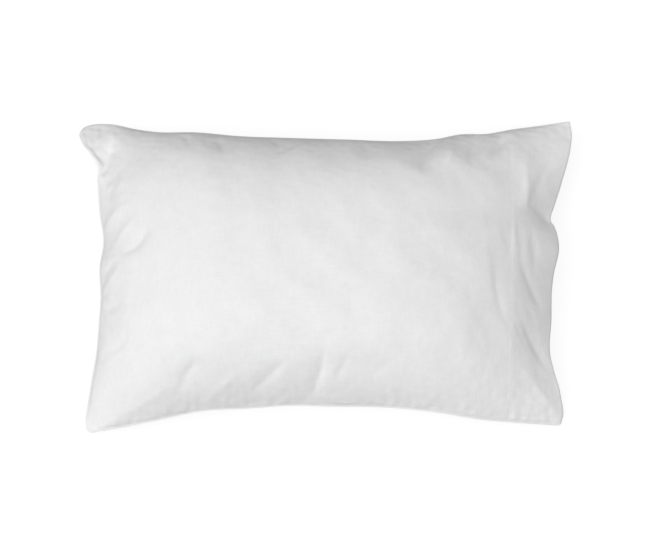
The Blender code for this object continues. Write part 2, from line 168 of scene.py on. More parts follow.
# One edge between two corners: share along it, how far it is drawn in, and its height
Edge = namedtuple("Edge", "along inset height")
NEAR_EDGE = (
    Edge(0.00, 0.0000, 0.022),
    Edge(0.07, 0.0060, 0.032),
    Edge(0.16, 0.0160, 0.044),
    Edge(0.24, 0.0255, 0.052),
    Edge(0.35, 0.0280, 0.058),
    Edge(0.43, 0.0304, 0.061),
    Edge(0.52, 0.0277, 0.062),
    Edge(0.64, 0.0243, 0.062),
    Edge(0.75, 0.0153, 0.056),
    Edge(0.81, 0.0085, 0.047),
    Edge(0.90, 0.0035, 0.030),
    Edge(1.00, 0.0000, 0.012),
)
FAR_EDGE = (
    Edge(0.00, 0.0000, 0.042),
    Edge(0.02, -0.0096, 0.036),
    Edge(0.06, -0.0132, 0.031),
    Edge(0.12, -0.0012, 0.039),
    Edge(0.16, 0.0062, 0.048),
    Edge(0.24, 0.0110, 0.058),
    Edge(0.33, 0.0195, 0.061),
    Edge(0.43, 0.0245, 0.063),
    Edge(0.55, 0.0296, 0.064),
    Edge(0.65, 0.0330, 0.062),
    Edge(0.73, 0.0290, 0.057),
    Edge(0.77, 0.0228, 0.055),
    Edge(0.83, 0.0210, 0.050),
    Edge(0.88, 0.0135, 0.045),
    Edge(0.94, 0.0070, 0.040),
    Edge(1.00, 0.0000, 0.036),
)
CLOSED_EDGE = (
    Edge(0.00, 0.0000, 0.022),
    Edge(0.04, -0.0004, 0.024),
    Edge(0.10, 0.0050, 0.032),
    Edge(0.17, 0.0125, 0.042),
    Edge(0.24, 0.0200, 0.050),
    Edge(0.34, 0.0267, 0.060),
    Edge(0.43, 0.0307, 0.063),
    Edge(0.52, 0.0303, 0.064),
    Edge(0.61, 0.0370, 0.062),
    Edge(0.70, 0.0322, 0.060),
    Edge(0.81, 0.0299, 0.058),
    Edge(0.88, 0.0286, 0.058),
    Edge(0.91, 0.0200, 0.056),
    Edge(0.95, 0.0076, 0.050),
    Edge(1.00, 0.0000, 0.042),
)
MOUTH_EDGE = (
    Edge(0.00, 0.0000, 0.012),
    Edge(0.03, -0.0038, 0.015),
    Edge(0.08, 0.0005, 0.021),
    Edge(0.12, 0.0062, 0.026),
    Edge(0.16, 0.0150, 0.031),
    Edge(0.20, 0.0212, 0.035),
    Edge(0.32, 0.0240, 0.038),
    Edge(0.47, 0.0222, 0.040),
    Edge(0.57, 0.0155, 0.039),
    Edge(0.61, 0.0185, 0.037),
    Edge(0.66, 0.0250, 0.033),
    Edge(0.70, 0.0220, 0.034),
    Edge(0.76, 0.0149, 0.037),
    Edge(0.82, 0.0080, 0.039),
    Edge(0.90, 0.0005, 0.038),
    Edge(0.95, -0.0024, 0.037),
    Edge(1.00, 0.0000, 0.036),
)

# A fold seen from above: its two ends, how far it bows to the left of its run, the width of its
# left and right flanks, its depth, negative for a ridge, and the share of its run where that is
Fold = namedtuple("Fold", "x0 y0 x1 y1 bow left right depth peak")
FOLD_ROUND = 0.0020  # how softly the two flanks meet
FOLD_TAPER = 1.5  # how fast a fold dies out towards its ends
FOLD_RUNS_ON = 0.5  # share of its run over which its bow goes on past each end
HEM_FOLDS = (
    Fold(0.261, -0.093, 0.231, 0.061, 0.009, 0.022, 0.014, -0.0020, 0.45),
    Fold(0.263, -0.098, 0.242, 0.002, 0.006, 0.005, 0.006, 0.0024, 0.40),
    Fold(0.267, -0.002, 0.256, 0.055, -0.002, 0.006, 0.006, 0.0015, 0.40),
    Fold(0.321, -0.074, 0.281, 0.011, 0.002, 0.007, 0.008, 0.0032, 0.50),
    Fold(0.328, -0.156, 0.281, -0.080, 0.001, 0.006, 0.012, 0.0036, 0.40),
    Fold(0.339, -0.208, 0.279, -0.143, 0.001, 0.020, 0.010, -0.0035, 0.40),
    Fold(0.298, 0.080, 0.302, 0.178, 0.003, 0.009, 0.018, -0.0050, 0.35),
    Fold(0.300, 0.087, 0.339, 0.166, 0.002, 0.020, 0.016, 0.0034, 0.45),
    Fold(0.291, 0.093, 0.344, 0.071, 0.002, 0.014, 0.009, 0.0070, 0.75),
)
CLOSED_END_FOLDS = (
    Fold(-0.336, 0.138, -0.325, 0.206, 0.000, 0.016, 0.008, 0.0090, 0.42),
    Fold(-0.337, 0.187, -0.303, 0.172, -0.001, 0.006, 0.006, 0.0020, 0.50),
    Fold(-0.314, 0.107, -0.298, 0.131, 0.000, 0.004, 0.006, -0.0015, 0.50),
    Fold(-0.324, 0.112, -0.317, 0.127, 0.000, 0.004, 0.004, -0.0012, 0.50),
    Fold(-0.333, 0.047, -0.288, 0.091, 0.004, 0.004, 0.012, -0.0030, 0.35),
    Fold(-0.318, 0.023, -0.274, 0.070, -0.002, 0.004, 0.009, -0.0025, 0.50),
    Fold(-0.311, 0.011, -0.258, 0.054, -0.017, 0.009, 0.004, 0.0030, 0.50),
    Fold(-0.328, -0.043, -0.296, -0.001, 0.000, 0.004, 0.009, -0.0025, 0.40),
    Fold(-0.327, -0.021, -0.310, 0.003, 0.001, 0.005, 0.005, 0.0025, 0.50),
    Fold(-0.325, -0.071, -0.290, -0.059, -0.002, 0.005, 0.005, 0.0020, 0.30),
    Fold(-0.332, -0.127, -0.285, -0.104, -0.011, 0.005, 0.005, 0.0025, 0.40),
)
NEAR_SIDE_FOLDS = (
    Fold(-0.342, -0.236, -0.212, -0.175, -0.002, 0.030, 0.011, -0.0035, 0.40),
    Fold(-0.216, -0.196, -0.176, -0.145, 0.004, 0.010, 0.022, 0.0045, 0.60),
    Fold(-0.182, -0.206, -0.119, -0.167, 0.002, 0.014, 0.010, -0.0020, 0.50),
    Fold(-0.119, -0.197, -0.055, -0.147, -0.003, 0.008, 0.006, 0.0030, 0.60),
    Fold(-0.025, -0.201, -0.005, -0.132, -0.008, 0.010, 0.005, 0.0045, 0.50),
    Fold(0.012, -0.177, 0.035, -0.141, 0.000, 0.005, 0.005, 0.0018, 0.50),
    Fold(0.058, -0.185, 0.103, -0.151, 0.007, 0.008, 0.008, 0.0015, 0.50),
)
FAR_SIDE_FOLDS = (
    Fold(-0.199, 0.160, -0.208, 0.199, 0.000, 0.008, 0.008, 0.0025, 0.70),
    Fold(-0.151, 0.157, -0.160, 0.193, 0.000, 0.009, 0.006, 0.0035, 0.70),
    Fold(-0.081, 0.154, -0.043, 0.194, -0.006, 0.006, 0.006, 0.0030, 0.60),
    Fold(-0.068, 0.166, -0.077, 0.192, 0.000, 0.005, 0.005, 0.0025, 0.60),
    Fold(0.062, 0.144, 0.051, 0.188, -0.003, 0.012, 0.010, 0.0030, 0.60),
    Fold(0.139, 0.121, 0.167, 0.197, 0.005, 0.022, 0.008, 0.0080, 0.65),
    Fold(0.176, 0.127, 0.192, 0.187, 0.001, 0.006, 0.009, -0.0030, 0.50),
    Fold(0.209, 0.140, 0.238, 0.205, 0.005, 0.010, 0.014, 0.0060, 0.55),
    Fold(0.242, 0.159, 0.274, 0.204, 0.000, 0.008, 0.006, 0.0045, 0.60),
)
TOP_FOLDS = HEM_FOLDS + CLOSED_END_FOLDS + NEAR_SIDE_FOLDS + FAR_SIDE_FOLDS
UNDER_FOLDS = (
    Fold(-0.322, -0.060, -0.270, -0.030, 0.004, 0.012, 0.008, 0.0040, 0.35),
    Fold(-0.330, 0.095, -0.275, 0.060, 0.000, 0.009, 0.012, 0.0040, 0.35),
    Fold(-0.190, -0.200, -0.165, -0.140, 0.003, 0.012, 0.009, 0.0050, 0.35),
    Fold(-0.060, -0.202, -0.050, -0.150, 0.000, 0.009, 0.010, 0.0040, 0.35),
    Fold(0.110, -0.204, 0.085, -0.140, 0.000, 0.013, 0.009, 0.0055, 0.35),
    Fold(0.235, -0.212, 0.215, -0.150, 0.003, 0.009, 0.011, 0.0040, 0.35),
    Fold(-0.140, 0.190, -0.160, 0.140, 0.000, 0.010, 0.013, 0.0045, 0.35),
    Fold(0.020, 0.188, 0.000, 0.136, 0.000, 0.011, 0.008, 0.0040, 0.35),
    Fold(0.190, 0.190, 0.165, 0.130, -0.003, 0.009, 0.013, 0.0055, 0.35),
    Fold(0.330, -0.060, 0.245, -0.020, 0.004, 0.012, 0.009, 0.0040, 0.50),
    Fold(0.335, 0.110, 0.250, 0.070, 0.000, 0.009, 0.012, 0.0045, 0.50),
)

# How the cloth settles
SETTLE_CELL = 0.0065
SETTLE_FRAMES = 24
SETTLE_REACH = 0.0035  # the furthest that a point may move
SETTLE_LIES = 1e-5  # the underside is held where it is lower than this
SETTLE_HOLD = "hold"  # the vertex group that is held
SETTLE_CLOTH = {
    "quality": 6,
    "mass": 0.15,
    "tension_stiffness": 25,
    "compression_stiffness": 25,
    "shear_stiffness": 5,
    "bending_stiffness": 0.05,
    "tension_damping": 10,
    "compression_damping": 10,
    "shear_damping": 10,
    "bending_damping": 0.5,
    "air_damping": 2,
    "use_pressure": True,
    "uniform_pressure_force": 2.0,
    "vertex_group_mass": SETTLE_HOLD,
    "pin_stiffness": 1,
}

# Cloth as it is looked at
WAVE_PERIOD = math.pi / 10  # of a wave texture whose scale is 1
PATCH_SCALE = 40  # of the cloth's cloudy patches, for each metre
SLUB_SCALE = 60  # along its thicker and thinner threads, for each metre
THREAD_SCALE = 420  # across them
CLOUD_DETAIL = 3
CLOUD_ROUGHNESS = 0.6
WEAVE_RELIEF = 0.25  # height of the weave, in pitches
COTTON_ROUGHNESS = 0.85
COTTON_SHEEN = 0.1
THREAD_ROUGHNESS = 0.6

# One stitch: share along it, how high it stands and how thick it is there, in threads
STITCH_RINGS = (
    (0.0, -0.5, 0.5),
    (0.2, 0.25, 0.9),
    (0.5, 0.4, 1.0),
    (0.8, 0.25, 0.9),
    (1.0, -0.5, 0.5),
)
STITCH_COVERS = 0.8  # share of the pitch that shows as thread
STITCH_SIDES = 6

# The stage. A sun has its width in the sky, which makes it soft, and its place there, in degrees.
FLOOR_HALF = 40.0
FLOOR_GAP = 0.0005  # how far the floor is below the case
FLOOR_GREY = 0.28
Sun = namedtuple("Sun", "name width turn height")
SUNS = (Sun("key", 50, -150, 30), Sun("top", 100, -90, 85))
SUN_DISTANCE = 3
AIM = Vector((-0.0008, -0.0081, 0.060))  # the point that the camera looks at
CAMERA_DISTANCE = 2.6
PIXEL = 0.001480  # what one pixel of the picture covers at the aim
PICTURE_WIDTH = 650
SENSOR = 36.0  # the camera's width of film, in millimetres


class PillowcaseSizes(bpy.types.PropertyGroup):
    """Sizes of the filled case that a user would change."""

    crown: bpy.props.FloatProperty(
        name="Crown",
        description="Height of the top above the case's middle surface",
        default=0.0845,
        unit="LENGTH",
    )
    belly: bpy.props.FloatProperty(
        name="Belly",
        description="Depth of the underside below the middle surface before it lies flat",
        default=0.106,
        unit="LENGTH",
    )
    cell: bpy.props.FloatProperty(
        name="Cell",
        description="Size of the mesh's cells on the cloth",
        default=0.0034,
        min=0.002,
        unit="LENGTH",
    )
    seam_width: bpy.props.FloatProperty(
        name="Seam width",
        description="Width of the pressed edge along the seams",
        default=0.0016,
        unit="LENGTH",
    )
    cloth: bpy.props.FloatProperty(
        name="Hem cloth",
        description="Thickness of one doubled layer at the mouth",
        default=0.0010,
        unit="LENGTH",
    )
    hem_step: bpy.props.FloatProperty(
        name="Hem step",
        description="How far the doubled hem stands above the single cloth",
        default=0.0001,
        unit="LENGTH",
    )
    undulation: bpy.props.FloatProperty(
        name="Undulation",
        description="Height of the cloth's long, soft unevenness over the filling",
        default=0.0006,
        unit="LENGTH",
    )
    crumple: bpy.props.FloatProperty(
        name="Crumples",
        description="Height of the cloth's fine crumples, which grow towards its seams",
        default=0.00005,
        unit="LENGTH",
    )
    pucker: bpy.props.FloatProperty(
        name="Puckers",
        description="Height of the small puckers that the seams gather",
        default=0.0005,
        unit="LENGTH",
    )
    stitch_pitch: bpy.props.FloatProperty(
        name="Stitch pitch",
        description="Distance from one stitch of the hem to the next",
        default=0.0032,
        min=0.001,
        unit="LENGTH",
    )
    thread: bpy.props.FloatProperty(
        name="Thread",
        description="Thickness of the sewing thread",
        default=0.00035,
        min=0.0001,
        unit="LENGTH",
    )


class PillowcaseFinish(bpy.types.PropertyGroup):
    """Colours and finish of the cloth and the thread."""

    cotton: bpy.props.FloatVectorProperty(
        name="Cotton",
        description="Colour of the cloth",
        default=(0.87, 0.87, 0.875),
        subtype="COLOR",
        min=0,
        max=1,
    )
    thread: bpy.props.FloatVectorProperty(
        name="Thread",
        description="Colour of the stitching",
        default=(0.90, 0.90, 0.90),
        subtype="COLOR",
        min=0,
        max=1,
    )
    weave_pitch: bpy.props.FloatProperty(
        name="Weave pitch",
        description="Distance from one thread of the weave to the next",
        default=0.0005,
        min=0.0001,
        unit="LENGTH",
    )
    weave_depth: bpy.props.FloatProperty(
        name="Weave depth",
        description="Strength of the weave's relief",
        default=0.3,
        min=0,
        max=1,
        subtype="FACTOR",
    )
    mottle: bpy.props.FloatProperty(
        name="Mottle",
        description="How much lighter and darker the cloth is from place to place",
        default=0.13,
        min=0,
        max=0.5,
        subtype="FACTOR",
    )


class PillowcaseStage(bpy.types.PropertyGroup):
    """Light, floor and viewing angle."""

    elevation: bpy.props.FloatProperty(
        name="Elevation",
        description="Angle of the camera above the floor",
        default=math.radians(78),
        subtype="ANGLE",
    )
    key: bpy.props.FloatProperty(
        name="Key light",
        description="Strength of the soft light from the lower left",
        default=1.09,
    )
    top: bpy.props.FloatProperty(
        name="Top light",
        description="Strength of the broad light from straight above",
        default=1.88,
    )
    fill: bpy.props.FloatProperty(
        name="Surrounding light",
        description="Strength of the even light from all round",
        default=0.183,
    )
    floor: bpy.props.FloatProperty(
        name="Floor glow",
        description="How brightly the white floor shines by itself",
        default=0.80,
    )


# ---- Form of the case


def curve_through(knots, values, at):
    """Smooth curve through values at the knots, read at the given places."""
    knots, values = np.asarray(knots), np.asarray(values)
    slopes = np.gradient(values, knots, axis=0)
    at = np.clip(at, knots[0], knots[-1])
    left = np.clip(np.searchsorted(knots, at, side="right") - 1, 0, len(knots) - 2)
    step = knots[left + 1] - knots[left]
    t = (at - knots[left]) / step
    more = (...,) + (None,) * (values.ndim - 1)
    t, step = t[more], step[more]
    rise = t * t * (3 - 2 * t)
    return (
        values[left] * (1 - rise)
        + values[left + 1] * rise
        + slopes[left] * step * t * (1 - t) ** 2
        - slopes[left + 1] * step * t * t * (1 - t)
    )


def smooth(rows, column, at):
    """One column of a table, read along its first one."""
    return curve_through([row[0] for row in rows], [row[column] for row in rows], at)


def ease(value, width):
    """0 at nothing and 1 from width on, turning smoothly."""
    t = np.clip(value / width, 0, 1)
    return t * t * (3 - 2 * t)


def edge_bend(start, end, rows, along, away, inward):
    """How an edge bends off the line between its corners, as felt at a share away from it."""
    chord = np.array(end[:2]) - np.array(start[:2])
    normal = np.array([-chord[1], chord[0]]) / np.hypot(*chord) * inward

    def bend(share):
        straight = start.z + (end.z - start.z) * share
        return np.stack([smooth(rows, 1, share), smooth(rows, 2, share) - straight], axis=-1)

    bow = 4 * (along * (1 - along))[..., None] * bend(np.array(0.5))
    near = (1 - away)[..., None]
    inset, height = np.moveaxis(bow * near + (bend(along) - bow) * near**DETAIL_FADE, -1, 0)
    return np.concatenate([inset[..., None] * normal, height[..., None]], axis=-1)


def round_corners(along, across):
    """Shares moved so that the outline turns the two closed corners on an arc."""
    side = np.minimum(across, 1 - across)
    a = np.clip(1 - along * LENGTH / CORNER_ROUND, 0, 1)
    b = np.clip(1 - side * WIDTH / CORNER_ROUND, 0, 1)
    along = along + (a - a * np.sqrt(1 - b * b / 2)) * CORNER_ROUND / LENGTH
    inward = (b - b * np.sqrt(1 - a * a / 2)) * CORNER_ROUND / WIDTH
    return along, np.where(across < 0.5, across + inward, across - inward)


def middle_surface(along, across):
    """The surface that the four edges span, halfway between the two panels."""
    along, across = round_corners(along, across)
    u, v = along[..., None], across[..., None]
    closed = np.array(NEAR_CLOSED) * (1 - v) + np.array(FAR_CLOSED) * v
    mouth = np.array(NEAR_MOUTH) * (1 - v) + np.array(FAR_MOUTH) * v
    return (
        closed * (1 - u)
        + mouth * u
        + edge_bend(NEAR_CLOSED, NEAR_MOUTH, NEAR_EDGE, along, across, 1)
        + edge_bend(FAR_CLOSED, FAR_MOUTH, FAR_EDGE, along, 1 - across, -1)
        + edge_bend(NEAR_CLOSED, FAR_CLOSED, CLOSED_EDGE, across, along, -1)
        + edge_bend(NEAR_MOUTH, FAR_MOUTH, MOUTH_EDGE, across, 1 - along, 1)
    )


def swell_along(along, left_at_mouth):
    """Share of the full height at each share of the length."""
    rise = 1 - (1 - np.clip(along / CLOSED_ROUND, 0, 1)) ** CLOSED_POWER
    fall = np.clip((along - 1 + MOUTH_TAPER) / MOUTH_TAPER, 0, 1) ** TAPER_POWER
    return rise**CLOSED_BLUNT * (1 - (1 - left_at_mouth) * fall)


def swell_across(across):
    """Share of the full height at each share of the width."""
    half = np.where(across < CREST, CREST, 1 - CREST)
    blunt = np.where(across < CREST, NEAR_BLUNT, FAR_BLUNT)
    return np.clip(1 - (np.abs(across - CREST) / half) ** CREST_POWER, 0, 1) ** blunt


def filled(points):
    """Share of the filling that reaches each place in plan."""
    share = np.ones(points.shape[:2])
    for slack in SLACKS:
        along = (points[..., 0] - slack.x) / slack.along
        across = (points[..., 1] - slack.y) / slack.across
        share *= 1 - slack.share * np.exp(-((along**2 + across**2) ** 2))
    return share


def normals_of(points):
    """Unit normals over a grid of points."""
    lengthwise = np.gradient(points, axis=0)
    crosswise = np.gradient(points, axis=1)
    normals = np.cross(lengthwise, crosswise)
    return normals / np.maximum(np.linalg.norm(normals, axis=2, keepdims=True), TINY)


def fold_depths(points, folds):
    """How deep the folds press each point in, measured in plan from each fold's bowed line."""
    plan = points[..., :2]
    depth = np.zeros(plan.shape[:2])
    for fold in folds:
        start, end = np.array(fold[0:2]), np.array(fold[2:4])
        length = math.dist(start, end)
        forward = (end - start) / length
        left = np.array([-forward[1], forward[0]])
        t = np.clip((plan - start) @ forward / length, -FOLD_RUNS_ON, 1 + FOLD_RUNS_ON)
        aside = (plan - start) @ left - 4 * fold.bow * t * (1 - t)
        width = np.where(aside > 0, fold.left, fold.right)
        away = (np.sqrt(aside**2 + FOLD_ROUND**2) - FOLD_ROUND) / width
        reach = np.where(t < fold.peak, fold.peak, 1 - fold.peak)
        taper = np.clip(1 - ((t - fold.peak) / reach) ** 2, 0, 1) ** FOLD_TAPER
        depth += fold.depth * taper * np.exp(-away)
    return depth


def lie_flat(heights):
    """Heights pressed flat at the surface, with a soft turn above it."""
    turn = (heights + FLOOR_BLEND) ** 2 / (4 * FLOOR_BLEND)
    pressed = np.where(heights < FLOOR_BLEND, turn, heights)
    return np.where(heights < -FLOOR_BLEND, 0.0, pressed)


def shared_steps(cell, length, height, profile):
    """Shares 0 to 1 whose steps are even along a profile, about one cell apart."""
    dense = np.linspace(0, 1, SAMPLES)
    run = np.hypot(np.diff(dense) * length, np.diff(profile(dense)) * height)
    path = np.concatenate([[0], np.cumsum(run)])
    count = round(path[-1] / cell)
    return np.interp(np.linspace(0, path[-1], count + 1), path, dense)


def hem_shares(across):
    """Share along each row at which its middle surface meets the hem's edge."""
    dense = np.linspace(0, 1, HEM_SAMPLES)
    rows = middle_surface(*np.meshgrid(dense, across, indexing="ij"))
    from_hem = rows[..., 0] - HEM_LEAN * rows[..., 1] - HEM_X
    return [np.interp(0, row, dense) for row in from_hem.T]


def with_seam(inside, seam, both):
    """Shares of the outline and inside shares, with the seam's lip added before or round them."""
    lip = np.array([share for share, _ in SEAM_PROFILE[:-1]]) * seam
    span = 1 - 2 * seam if both else 1 - seam
    after = [1 - lip[::-1]] if both else []
    outline = np.concatenate([lip, seam + inside * span] + after)
    ends = np.zeros(len(lip))
    return outline, np.concatenate([ends, inside] + ([ends + 1] if both else []))


def with_rows(shares, added):
    """Shares with some more put in, and without those that come too close to them."""
    if not len(added):
        return shares
    room = ROW_ROOM * np.diff(shares).min()
    kept = [share for share in shares if np.abs(added - share).min() > room]
    return np.unique(np.concatenate([kept, added]))


class Form:
    """The filled case at one cell size: both panels' grids and where each point is on them."""

    def __init__(self, sizes, cell, hem_runs=(), seam_runs=()):
        inside = shared_steps(cell, LENGTH, sizes.crown, lambda s: swell_along(s, MOUTH_RISE))
        hem_at = inside[np.argmin(np.abs(inside - HEM_SHARE))]
        beside = hem_at + np.array(hem_runs) / LENGTH
        inside = with_rows(inside, np.concatenate([np.array(seam_runs) / LENGTH, beside]))
        seam = sizes.seam_width / LENGTH
        self.u, self.inside_u = with_seam(inside, seam, both=False)

        inside = shared_steps(cell, WIDTH, sizes.crown, swell_across)
        beside = np.array(seam_runs) / WIDTH
        inside = with_rows(inside, np.concatenate([beside, 1 - beside]))
        self.v, self.inside_v = with_seam(inside, sizes.seam_width / WIDTH, both=True)
        self.lip = len(SEAM_PROFILE) - 1

        knots = [0, HEM_STRETCH, seam + hem_at * (1 - seam), 1]
        self.along = np.column_stack(
            [np.interp(self.u, knots, [0, HEM_STRETCH, hem, 1]) for hem in hem_shares(self.v)]
        )
        self.across = np.outer(np.ones(len(self.u)), self.v)
        self.side = np.minimum(self.inside_v, 1 - self.inside_v)[None, :]
        self.end = self.inside_u[:, None]
        self.from_side = self.side * WIDTH
        self.from_end = self.end * LENGTH
        self.past_hem = (self.inside_u - hem_at)[:, None] * LENGTH
        self.panels(sizes)

    def panels(self, sizes):
        """The smooth top and under panel, before any fold."""
        middle = middle_surface(self.along, self.across)
        swell = swell_across(self.inside_v)[None, :]
        half = self.half_seam()
        rise = swell_along(self.inside_u, MOUTH_RISE)[:, None]
        sag = swell_along(self.inside_u, MOUTH_SAG)[:, None]
        self.top, self.under = middle.copy(), middle.copy()
        self.top[..., 2] += half + sizes.crown * rise * swell * filled(middle)
        self.under[..., 2] -= half + sizes.belly * sag * swell

    def half_seam(self):
        """Half the seam's thickness, from its thin edge to the stitch line at its root."""
        shares, halves = zip(*SEAM_PROFILE)
        lip_v = np.interp(np.minimum(self.v, 1 - self.v) / self.v[self.lip], shares, halves)
        lip_u = np.interp(self.u / self.u[self.lip], shares, halves)
        return np.minimum(lip_u[:, None], lip_v[None, :])


def random_swells(plan, pitch, seed):
    """A random surface of height about 1, with waves of about one pitch, the same each time."""
    random = np.random.default_rng(seed)
    turns = random.uniform(0, 2 * np.pi, SWELL_WAVES)
    rates = 2 * np.pi / (pitch * random.uniform(*SWELL_SPREAD, SWELL_WAVES))
    starts = random.uniform(0, 2 * np.pi, SWELL_WAVES)
    x, y = plan[..., 0], plan[..., 1]
    total = np.zeros(x.shape)
    for turn, rate, start in zip(turns, rates, starts):
        total += np.cos(x * np.cos(turn) * rate + y * np.sin(turn) * rate + start)
    return total / math.sqrt(SWELL_WAVES)


def flat_places(points):
    """Where each point lies on the cloth before it is sewn, from its rows' own lengths."""

    def shares(axis):
        steps = np.diff(points, axis=axis, prepend=np.take(points, [0], axis=axis))
        path = np.cumsum(np.linalg.norm(steps, axis=2), axis=axis)
        return path / np.take(path, [-1], axis=axis)

    return np.stack([shares(0) * FLAT_LENGTH, shares(1) * FLAT_WIDTH], axis=-1)


# ---- Settling as cloth


def sewn_bag(form):
    """Both panels sewn into one bag: its points, their places on the flat cloth, which of them
    are held, and each panel's grid of point numbers."""
    inner = slice(form.lip, -form.lip)
    top, under = form.top[form.lip :, inner], form.under[form.lip :, inner].copy()
    under[..., 2] = lie_flat(under[..., 2])
    seam = np.zeros(top.shape[:2], dtype=bool)
    seam[0], seam[:, 0], seam[:, -1] = True, True, True
    loose = ~seam
    index_top = np.arange(seam.size).reshape(seam.shape)
    index_under = index_top.copy()
    index_under[loose] = seam.size + np.arange(loose.sum())
    points = np.concatenate([top.reshape(-1, 3), under[loose]])
    flat = np.concatenate([flat_places(top).reshape(-1, 2), flat_places(under)[loose]])
    held = np.concatenate([seam.ravel(), under[loose][:, 2] < SETTLE_LIES])
    return points, flat, held, (index_top, index_under)


def settled(sizes):
    """How the cloth moves off the smooth form when it is sewn flat and filled."""
    form = Form(sizes, SETTLE_CELL)
    points, flat, held, grids = sewn_bag(form)
    faces = []
    for index, turn in zip(grids, (1, -1)):
        corners = (index[:-1, :-1], index[1:, :-1], index[1:, 1:], index[:-1, 1:])[::turn]
        faces += np.stack(corners, axis=-1).reshape(-1, 4).tolist()
    mesh = bpy.data.meshes.new("settling")
    mesh.from_pydata(points.tolist(), [], faces)
    bag = bpy.data.objects.new("settling", mesh)
    scene = bpy.context.scene
    scene.collection.objects.link(bag)
    bag.shape_key_add(name="Basis")
    rest = bag.shape_key_add(name="flat")
    for place, (x, y) in zip(rest.data, flat):
        place.co = (x, y, 0)
    hold = bag.vertex_groups.new(name=SETTLE_HOLD)
    hold.add(np.flatnonzero(held).tolist(), 1.0, "REPLACE")

    cloth = bag.modifiers.new("Cloth", "CLOTH")
    for name, value in SETTLE_CLOTH.items():
        setattr(cloth.settings, name, value)
    cloth.settings.effector_weights.gravity = 0
    cloth.settings.rest_shape_key = rest
    cloth.point_cache.frame_start = 1
    cloth.point_cache.frame_end = SETTLE_FRAMES
    for number in range(1, SETTLE_FRAMES + 1):
        scene.frame_set(number)
    moved = bag.evaluated_get(bpy.context.evaluated_depsgraph_get()).to_mesh()
    after = np.empty(points.size, dtype=np.float32)
    moved.vertices.foreach_get("co", after)
    bpy.data.objects.remove(bag)
    scene.frame_set(1)

    shift = after.reshape(-1, 3) - points
    reach = np.linalg.norm(shift, axis=1, keepdims=True)
    shift *= np.tanh(reach / SETTLE_REACH) * SETTLE_REACH / np.maximum(reach, TINY)
    inside_u, inside_v = form.inside_u[form.lip :], form.inside_v[form.lip : -form.lip]
    return inside_u, inside_v, [shift[index] for index in grids]


def spread_over(form, inside_u, inside_v, shift):
    """A settled panel's movement, read at every point of a finer grid."""
    rows = curve_through(inside_u, shift, form.inside_u)
    return np.swapaxes(curve_through(inside_v, np.swapaxes(rows, 0, 1), form.inside_v), 0, 1)


# ---- Meshes


class Skin:
    """Collects grids of points and the faces between them into one mesh."""

    def __init__(self):
        self.mesh = bmesh.new()

    def points(self, grid):
        """The grid's points as corners of the mesh."""
        return [[self.mesh.verts.new(p) for p in row] for row in grid]

    def face(self, *corners):
        """A face, with a corner that comes twice taken once."""
        distinct = list(dict.fromkeys(corners))
        if len(distinct) > 2:
            self.mesh.faces.new(distinct)

    def sheet(self, grid, flip=False):
        """Faces over a grid of points, turned over where it is flipped."""
        for low, high in zip(grid, grid[1:]):
            for a, b, c, d in zip(low, high, high[1:], low[1:]):
                self.face(*((d, c, b, a) if flip else (a, b, c, d)))


def column(grid, index):
    """One column of a grid of points."""
    return [row[index] for row in grid]


def hem_profile(past, step):
    """How far the hem stands up at each distance past its edge."""
    places, heights = zip(*HEM_HEIGHTS)
    return step * np.interp(past, places, heights)


def seam_gathers(sizes, form, panel, seed):
    """Small puckers beside the seams, and the low ridge of the edges turned in under the cloth."""
    total = np.zeros(panel.shape[:2])
    for away, stretch in (
        (form.from_side, (1, PUCKER_STRETCH)),
        (form.from_end, (PUCKER_STRETCH, 1)),
    ):
        waves = random_swells(panel[..., :2] * stretch, PUCKER_PITCH, seed)
        total += sizes.pucker * waves * (np.exp(-away / PUCKER_REACH) * ease(away, PUCKER_START))
        under = 1 - ease(away - SEAM_ALLOWANCE, ALLOWANCE_FALL)
        total += sizes.hem_step * under * ease(away, ALLOWANCE_RISE)
    return total


def case_panels(sizes, form):
    """The finished outer faces of both panels, with folds, hem and settled cloth."""
    fade = ease(form.from_side, SEAM_FADE) * ease(form.from_end, SEAM_FADE)
    from_seam = np.minimum(form.from_end, form.from_side)
    crumpled = 1 + CRUMPLE_MORE * np.exp(-from_seam / CRUMPLE_REACH)
    hem = hem_profile(form.past_hem, sizes.hem_step) * ease(form.side, HEM_SIDE_FADE)
    cloth = settled(sizes)
    panels = []
    for side, (smooth_panel, folds, up) in enumerate(
        ((form.top, TOP_FOLDS, 1), (form.under, UNDER_FOLDS, -1))
    ):
        panel = smooth_panel.copy()
        if cloth is not None:
            inside_u, inside_v, shifts = cloth
            panel += spread_over(form, inside_u, inside_v, shifts[side])
        raised = hem + seam_gathers(sizes, form, panel, PUCKER_SEED + side)
        raised -= fold_depths(panel, folds) * fade
        for swell in SWELLS:
            waves = random_swells(panel, swell.pitch, swell.seed + side)
            raised += sizes.undulation * swell.share * waves * fade
        waves = random_swells(panel, CRUMPLE_PITCH, CRUMPLE_SEED + side)
        raised += sizes.crumple * waves * crumpled * fade
        panel += up * normals_of(panel) * raised[..., None]
        panels.append(panel)
    top, under = panels
    bump = np.exp(-(((form.inside_v - UNDER_PEEKS_AT) / UNDER_PEEKS_WIDE) ** 2))
    grown = ease(form.end - UNDER_PEEKS_FROM, UNDER_PEEKS_RUN)
    under[..., 0] += UNDER_PEEKS * bump[None, :] * grown
    under[..., 2] = lie_flat(under[..., 2])

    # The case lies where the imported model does
    plan = np.concatenate([top.reshape(-1, 3), under.reshape(-1, 3)])[:, :2]
    centre = (plan.min(axis=0) + plan.max(axis=0)) / 2
    packed = [(a + b) / 2 for a, b in zip(*PACKED_BOX)][:2]
    for panel in panels:
        panel[..., :2] += packed - centre
    return top, under


